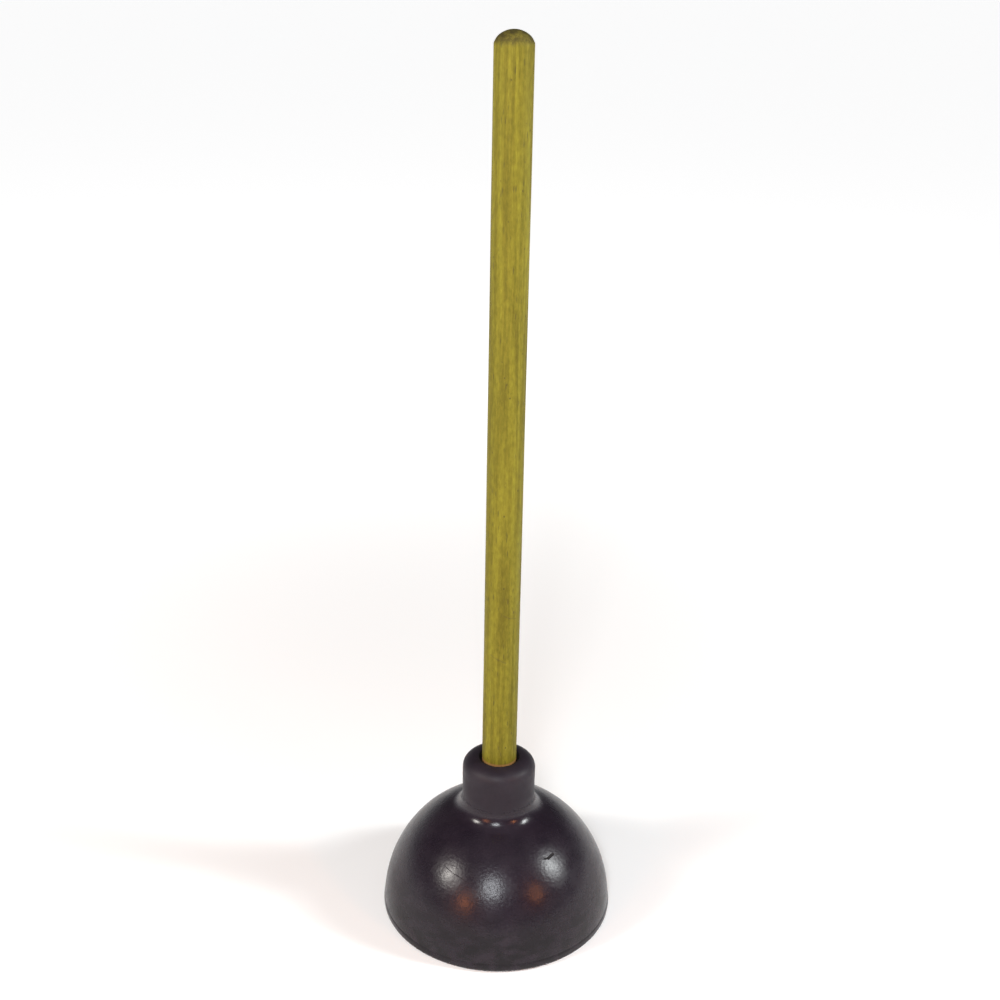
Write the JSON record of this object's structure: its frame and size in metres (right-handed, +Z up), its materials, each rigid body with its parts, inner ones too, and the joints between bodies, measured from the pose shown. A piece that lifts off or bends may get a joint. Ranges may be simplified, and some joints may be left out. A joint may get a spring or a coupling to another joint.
{
  "type": "cup plunger",
  "caption": "Cup plunger: round-ended wooden handle seated in the neck of a dark rubber force cup and held from inside by a wood screw and washer; the cup springs back after each push.",
  "frame": {"origin": "centre of the cup's rim, in the plane the rim rests on", "axes": "+Z up along the handle, from the rim towards the handle's round end; X and Y are interchangeable"},
  "size_m": [0.1508, 0.1508, 0.5554],
  "materials": {
    "stained_wood": "thin olive-yellow stain over straight grain, dull satin",
    "dark_rubber": "moulded, finely scuffed satin",
    "washer_steel": "zinc plated",
    "screw_steel": "zinc plated"
  },
  "bodies": {
    "cup": {"rubber_cup": "dark_rubber"},
    "handle": {"handle": "stained_wood", "washer": "washer_steel", "wood_screw": "screw_steel"}
  },
  "joints": [
    {"name": "plunge_stroke", "type": "slide", "parent": "cup", "child": "handle", "axis": [0, 0, 1], "range_m": [-0.045, 0], "stiffness_N_per_m": 2500, "deforming": ["rubber_cup"]}
  ]
}
